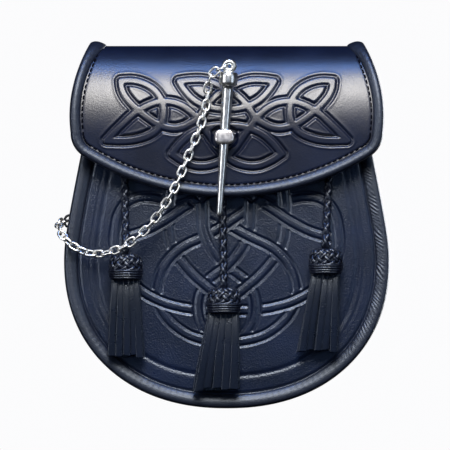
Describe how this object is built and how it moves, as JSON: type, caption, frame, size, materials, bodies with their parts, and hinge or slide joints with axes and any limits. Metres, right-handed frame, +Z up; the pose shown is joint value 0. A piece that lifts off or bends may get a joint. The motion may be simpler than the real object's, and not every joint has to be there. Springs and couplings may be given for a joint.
{
  "type": "sporran pouch",
  "caption": "Black leather pouch worn on a belt at the front: embossed front and fold-over flap with rolled edging, peg through a stud, a small chain and hanging tassels",
  "frame": {"origin": "midway between the two belt loops, on the rear face of the back panel", "axes": "+Z up along the hanging pouch, -Y out of its front face, +X to the right seen from the front"},
  "size_m": [0.1848, 0.061, 0.2026],
  "materials": {
    "leather": "smooth black hide with a soft sheen and a fine grain, tooled relief",
    "edging": "thin black hide, rolled and stitched, satin",
    "tassel_leather": "plain black hide, cut in thongs and strips, satin",
    "chain_metal": "bright plated wire",
    "fitting_metal": "polished cast metal, slightly darkened"
  },
  "bodies": {
    "root": {"back_panel": "leather", "front_panel": "leather", "gusset": "leather", "flap": "leather", "front_edging": "edging", "back_edging": "edging", "flap_edging": "edging", "belt_loop_left": "leather", "belt_loop_right": "leather", "stud": "fitting_metal", "peg": "fitting_metal", "chain_staple": "chain_metal", "tassel_braid_left": "tassel_leather", "tassel_knot_left": "tassel_leather", "tassel_skirt_left": "tassel_leather", "tassel_braid_centre": "tassel_leather", "tassel_knot_centre": "tassel_leather", "tassel_skirt_centre": "tassel_leather", "tassel_braid_right": "tassel_leather", "tassel_knot_right": "tassel_leather", "tassel_skirt_right": "tassel_leather", "chain_link_01": "chain_metal", "chain_link_02": "chain_metal", "chain_link_03": "chain_metal", "chain_link_04": "chain_metal", "chain_link_05": "chain_metal", "chain_link_06": "chain_metal", "chain_link_07": "chain_metal", "chain_link_08": "chain_metal", "chain_link_09": "chain_metal", "chain_link_10": "chain_metal", "chain_link_11": "chain_metal", "chain_link_12": "chain_metal", "chain_link_13": "chain_metal", "chain_link_14": "chain_metal", "chain_link_15": "chain_metal", "chain_link_16": "chain_metal", "chain_link_17": "chain_metal", "chain_link_18": "chain_metal", "chain_link_19": "chain_metal", "chain_link_20": "chain_metal", "chain_link_21": "chain_metal", "chain_link_22": "chain_metal", "chain_link_23": "chain_metal", "chain_link_24": "chain_metal", "chain_link_25": "chain_metal", "chain_link_26": "chain_metal", "chain_link_27": "chain_metal", "chain_link_28": "chain_metal", "chain_link_29": "chain_metal", "chain_link_30": "chain_metal", "chain_link_31": "chain_metal", "chain_link_32": "chain_metal", "chain_link_33": "chain_metal", "chain_link_34": "chain_metal", "chain_link_35": "chain_metal", "chain_link_36": "chain_metal", "chain_link_37": "chain_metal"}
  },
  "joints": []
}
